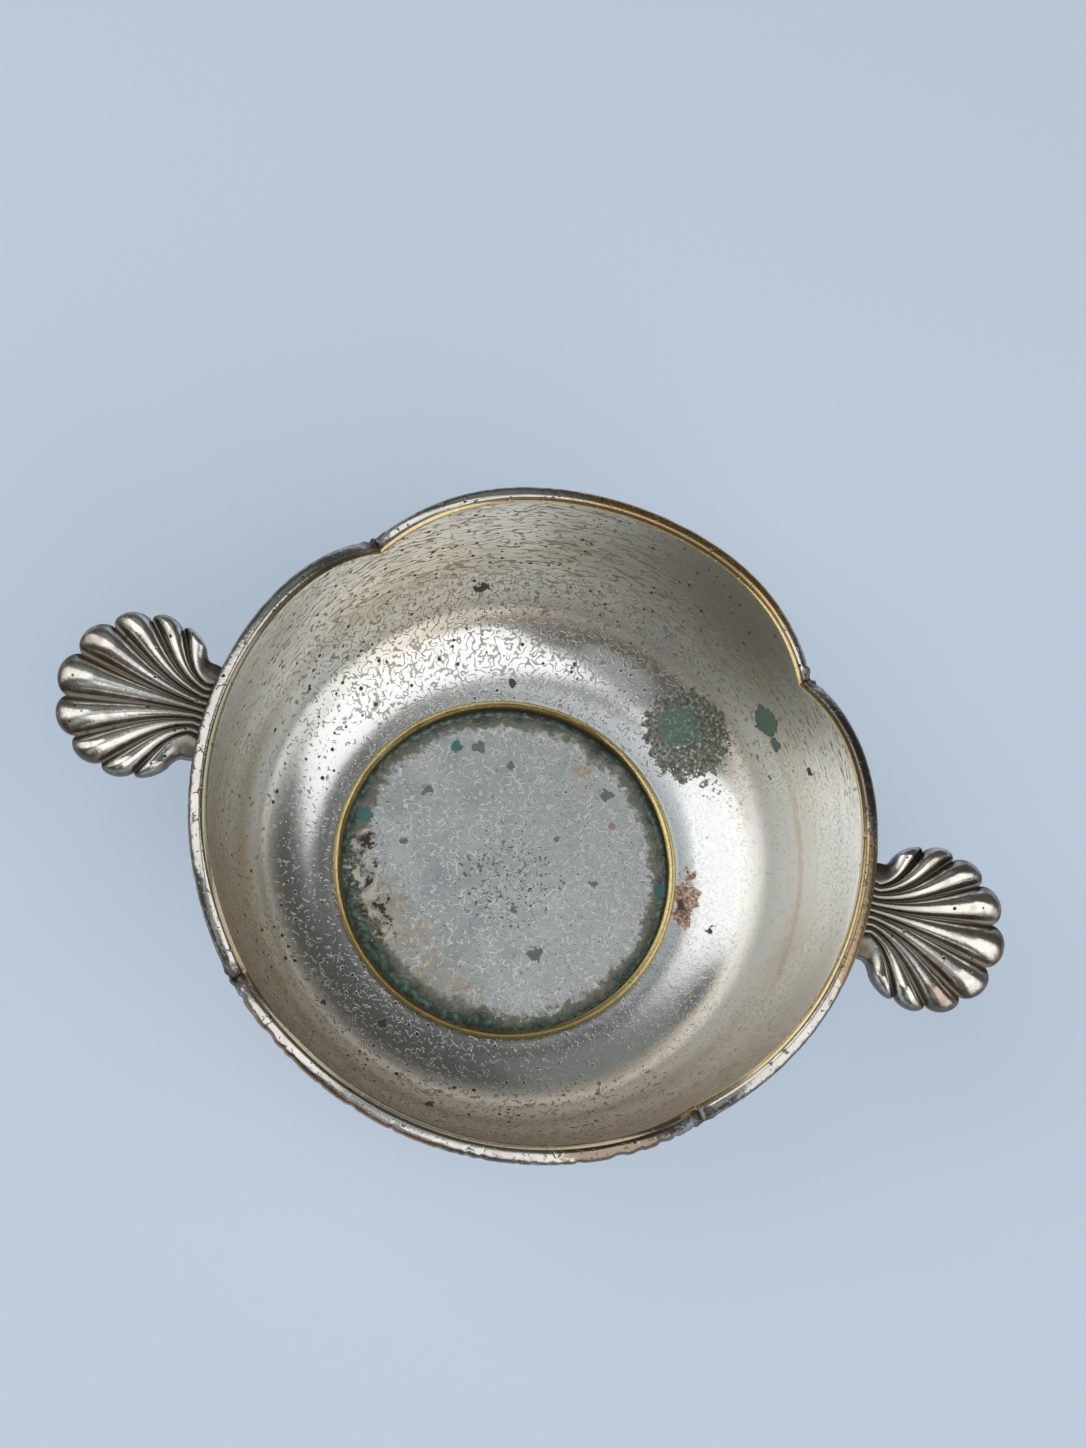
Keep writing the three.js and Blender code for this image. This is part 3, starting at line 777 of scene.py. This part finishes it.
def pan_finish():
    """Silver plate on the pressed pan, dull from rubbing and scratched all over, with verdigris and dirt in
    the corner of the well, bare brass along the lip, olive brass with painted shade down the upstand, and a
    scuffed underside"""
    made, tree, place = new_finish("dull_silver_plate_on_pressed_brass")
    parts = node(tree, "ShaderNodeSeparateXYZ", {0: place}).outputs
    across, depth, height = parts["X"], parts["Y"], parts["Z"]
    in_plan = node(tree, "ShaderNodeCombineXYZ", {0: across, 1: depth}).outputs[0]
    radius = node(tree, "ShaderNodeVectorMath", {0: in_plan}, operation="LENGTH").outputs["Value"]
    patches = node(tree, "ShaderNodeTexNoise", {"Vector": place, "Scale": 1 / 8, **CLOUDY}).outputs["Fac"]
    clouds = share_where(tree, (patches, 0.3, 0.7))
    frays = node(tree, "ShaderNodeTexNoise", {"Vector": place, "Scale": 1 / 1.2, **CLOUDY}).outputs["Fac"]
    waves = node(tree, "ShaderNodeTexNoise", {"Vector": place, "Scale": 1 / 7, **SOFT}).outputs["Fac"]
    surface = plate(tree, clouds, "#b0b8ba", "#dbdfde", smooth=0.3, dull=0.42, lumps=frays, depth=0.03,
                    metal=0.6)
    floor_wear(tree, surface, place, across, clouds, frays)
    well_crust(tree, surface, place, radius, frays, waves)

    # Olive brass down the upstand of the well, darkened as painted shade on the steep wall
    lay_over(tree, surface, [(height, 1.5, 2.1)], "#5f5843", rough=0.4, metal=0.8)
    lip = share_where(tree, (height, 2.8, 3.3))
    lay_over(tree, surface, [lip], (frays, "#474029", "#968454"), rough=0.34, metal=0.95)
    outside = node(tree, "ShaderNodeMath", {0: waves, 1: 0.9, 2: radius}, operation="MULTIPLY_ADD").outputs[0]
    rightwards = share_where(tree, (across, 5, 26, 0.0, 0.8))
    outside = node(tree, "ShaderNodeMath", {0: outside, 1: rightwards}, operation="ADD").outputs[0]
    rubbed = [lip, (outside, 30.4, 30.7), (depth, -26, -6, 0.2, 0.9)]
    lay_over(tree, surface, rubbed, "#e9d294", rough=0.24)
    under = share_where(tree, (height, 0.5, 0.3))
    lay_over(tree, surface, [under], (clouds, "#8f8b81", "#cfccc3"), rough=0.4, metal=0.9)
    scuffs = [under, scratches(tree, place, 1.6, 0.06, 0.45)]
    lay_over(tree, surface, scuffs, "#6f6a60", rough=0.5, metal=0.9, lift=-0.03)
    finish_with(tree, surface)
    return made


# The finishes of the wires and the handles

def wire_finish():
    """Silver plate on drawn brass wire: bright along the top, dark with tarnish down the flank and by the
    solder, and yellow to brown where the brass is bare"""
    made, tree, place = new_finish("worn_silver_plate_on_brass_wire")
    flank = node(tree, "ShaderNodeAttribute", attribute_name="flank").outputs["Fac"]
    parts = node(tree, "ShaderNodeSeparateXYZ", {0: place}).outputs
    clouds = node(tree, "ShaderNodeTexNoise", {"Vector": place, "Scale": 1 / 5, **CLOUDY}).outputs["Fac"]
    frays = node(tree, "ShaderNodeTexNoise", {"Vector": place, "Scale": 1 / 1.2, **CLOUDY}).outputs["Fac"]
    surface = plate(tree, clouds, "#b3aea5", "#e3e0da", smooth=0.12, dull=0.24, lumps=frays, depth=0.05)
    tarnish = node(tree, "ShaderNodeMath", {0: frays, 1: flank}, operation="ADD").outputs[0]
    lay_over(tree, surface, [(tarnish, 1.2, 1.6, 0.0, 0.85)], "#6b645a", rough=0.3)
    angle = node(tree, "ShaderNodeMath", {0: parts["Y"], 1: parts["X"]}, operation="ARCTAN2").outputs[0]
    angle = node(tree, "ShaderNodeMath", {0: frays, 1: STRETCH_FRAY, 2: angle},
                 operation="MULTIPLY_ADD").outputs[0]
    across = node(tree, "ShaderNodeMath", {0: frays, 1: 0.6, 2: flank}, operation="MULTIPLY_ADD").outputs[0]
    for middle, half_length, tone, start in BARE_STRETCHES:
        centre = math.radians(middle) + STRETCH_FRAY / 2
        reach = math.radians(half_length)
        off = node(tree, "ShaderNodeMath", {0: angle, 1: centre}, operation="SUBTRACT").outputs[0]
        off = node(tree, "ShaderNodeMath", {0: off}, operation="ABSOLUTE").outputs[0]
        bare = [(off, reach, reach - STRETCH_FADE, 0.0, 0.85), (across, start, start + 0.2)]
        lay_over(tree, surface, bare, tone, rough=0.28, lift=-0.01)
    solder = node(tree, "ShaderNodeAttribute", attribute_name="solder").outputs["Fac"]
    solder = node(tree, "ShaderNodeMath", {0: frays, 1: 1.2, 2: solder}, operation="MULTIPLY_ADD").outputs[0]
    lay_over(tree, surface, [(solder, 0.85, 1.2, 0.0, 0.8)], "#6d665c", rough=0.42, metal=0.9, lift=0.02)
    lay_over(tree, surface, [scratches(tree, place, 1.3, 0.07, 0.58)], "#7d776d", rough=0.4, lift=-0.04)
    lay_over(tree, surface, [pits(tree, place, 2.6, 0.42)], "#4b443c", rough=0.5, metal=0.85, lift=-0.06)
    finish_with(tree, surface)
    return made


def handle_finish():
    """Silver plate on cast brass: rubbed bright on the lobes, dark with patina in the grooves, painted shade
    at the root and on the outer halves of the end lobes, and brown at the tips from copper wear and painted
    shade"""
    made, tree, place = new_finish("worn_silver_plate_on_cast_brass")
    groove = node(tree, "ShaderNodeAttribute", attribute_name="groove").outputs["Fac"]
    tip = node(tree, "ShaderNodeAttribute", attribute_name="tip").outputs["Fac"]
    clouds = node(tree, "ShaderNodeTexNoise", {"Vector": place, "Scale": 1 / 4, **CLOUDY}).outputs["Fac"]
    frays = node(tree, "ShaderNodeTexNoise", {"Vector": place, "Scale": 1 / 1.4, **CLOUDY}).outputs["Fac"]
    patches = node(tree, "ShaderNodeTexNoise", {"Vector": place, "Scale": 1 / 6, **SOFT}).outputs["Fac"]
    surface = plate(tree, clouds, "#d0ccc3", "#fbf8f1", smooth=0.17, dull=0.27, lumps=frays, depth=0.07)
    rubbed = [(patches, 0.5, 0.66, 0.0, 0.7), (tip, 0.35, 0.9)]
    lay_over(tree, surface, rubbed, "#a98b70", rough=0.24)
    # Brown at the lobe tips: partly copper wear, partly painted shade darkening the ends
    ends = node(tree, "ShaderNodeMath", {0: frays, 1: 0.5, 2: tip}, operation="MULTIPLY_ADD").outputs[0]
    lay_over(tree, surface, [(ends, 1.1, 1.4, 0.0, 0.75)], "#96806b", rough=0.3)
    lay_over(tree, surface, [pits(tree, place, 1.8, 0.4)], "#4b463e", rough=0.5, metal=0.85, lift=-0.06)
    # Painted shade: the lobes grow darker towards their roots, as if shadowed by the rim
    lay_over(tree, surface, [(tip, 0.55, 0.0, 0.0, 0.75)], "#716a5f", rough=0.3)
    # Dark patina in the grooves, together with the painted shade on the outer halves of the end lobes
    patina_and_painted_shade = node(tree, "ShaderNodeMath", {0: frays, 1: 0.7, 2: groove}, operation="MULTIPLY_ADD").outputs[0]
    lay_over(tree, surface, [(patina_and_painted_shade, 0.52, 1.2, 0.0, 0.92)], "#686055", rough=0.34, metal=0.95)
    finish_with(tree, surface)
    return made


bowl(wall_finish())
pan(pan_finish())
wire_plate = wire_finish()
for count, side in enumerate(("right", "far", "left", "near")):
    rim_wire(side, count * math.pi / 2, wire_plate)
handle_plate = handle_finish()
handle("right", RIGHT_SKEW, handle_plate)
handle("left", math.pi, handle_plate)


# The stage: half the table's width and the panels' distance in metres, and how strongly the table glows
TABLE_HALF = 3
PANEL_DISTANCE = 0.9
TABLE_GLOW = 0.51

# The photograph's camera, in millimetres
CAMERA_PLACE = Vector((-27.11, -98.52, 382.36))
CAMERA_AIM = Vector((-0.55, 28.59, 0))
CAMERA_ROLL = math.radians(28.51)
FRAME_HEIGHT = 36
LENS = 54.75


def table_top():
    """A table of matt pale blue card, which keeps the dish's shadow and glows to the camera and in the
    metal as plainly as a lit backdrop"""
    bm = bmesh.new()
    bmesh.ops.create_grid(bm, x_segments=1, y_segments=1, size=TABLE_HALF)
    mesh = bpy.data.meshes.new("table_top")
    bm.to_mesh(mesh)
    bm.free()
    made = bpy.data.objects.new("table_top", mesh)
    bpy.context.scene.collection.objects.link(made)
    card = bpy.data.materials.new("pale_blue_card")
    card.use_nodes = True
    tree = card.node_tree
    shader = tree.nodes["Principled BSDF"]
    shader.inputs["Base Color"].default_value = linear("#a7b3c1")
    shader.inputs["Roughness"].default_value = 0.9
    shader.inputs["Specular IOR Level"].default_value = 0.0
    shader.inputs["Emission Color"].default_value = linear("#bcc9d9")
    rays = node(tree, "ShaderNodeLightPath").outputs
    seen = rays["Is Camera Ray"]
    for ray in ("Is Glossy Ray", "Is Transmission Ray"):
        seen = node(tree, "ShaderNodeMath", {0: seen, 1: rays[ray]}, operation="ADD").outputs[0]
    glow = node(tree, "ShaderNodeMath", {0: seen, 1: TABLE_GLOW}, operation="MULTIPLY").outputs[0]
    tree.links.new(glow, shader.inputs["Emission Strength"])
    mesh.materials.append(card)


def soft_panel(name, azimuth, zenith, width, height, radiance, tone):
    """A lamp with a broad face, aimed at the dish from a direction in degrees"""
    data = bpy.data.lights.new(name, "AREA")
    data.color = linear(tone)[:3]
    data.shape = "RECTANGLE"
    data.size, data.size_y = width, height
    data.energy = radiance * math.pi * width * height
    made = bpy.data.objects.new(name, data)
    turn, tilt = math.radians(azimuth), math.radians(zenith)
    way = Vector((math.sin(tilt) * math.cos(turn), math.sin(tilt) * math.sin(turn), math.cos(tilt)))
    made.location = way * PANEL_DISTANCE
    made.rotation_euler = way.to_track_quat("Z", "Y").to_euler()
    bpy.context.scene.collection.objects.link(made)


def lights():
    """A dim grey room with two windows, and the pale walls and ceiling that the polished wall mirrors"""
    world = bpy.data.worlds.new("grey_room")
    world.use_nodes = True
    sky = world.node_tree.nodes["Background"]
    sky.inputs["Color"].default_value = linear("#4c4e4a")
    bpy.context.scene.world = world
    soft_panel("window_left", 181, 43, width=0.8, height=1.12, radiance=1.22, tone="#ffffff")
    soft_panel("window_right", 330, 44, width=1.2, height=1.12, radiance=1.24, tone="#ffffff")
    soft_panel("pale_wall_near", 258, 42, width=0.35, height=0.9, radiance=0.32, tone="#e9eef5")
    soft_panel("ceiling", 120, 5, width=0.32, height=0.32, radiance=0.72, tone="#dfe8f2")
    soft_panel("pale_wall_far", 118, 46, width=0.55, height=0.6, radiance=0.16, tone="#e9eef0")


def camera():
    """The photograph's place, aim and turn"""
    data = bpy.data.cameras.new("camera")
    data.sensor_fit = "VERTICAL"
    data.sensor_width = data.sensor_height = FRAME_HEIGHT
    data.lens = LENS
    made = bpy.data.objects.new("camera", data)
    made.location = CAMERA_PLACE * MM
    level = (CAMERA_AIM - CAMERA_PLACE).to_track_quat("-Z", "Y").to_matrix().to_4x4()
    made.rotation_euler = (level @ Matrix.Rotation(CAMERA_ROLL, 4, "Z")).to_euler()
    bpy.context.scene.collection.objects.link(made)
    bpy.context.scene.camera = made


table_top()
lights()
camera()
bpy.context.scene.view_settings.view_transform = "Standard"

bpy.context.view_layer.update()
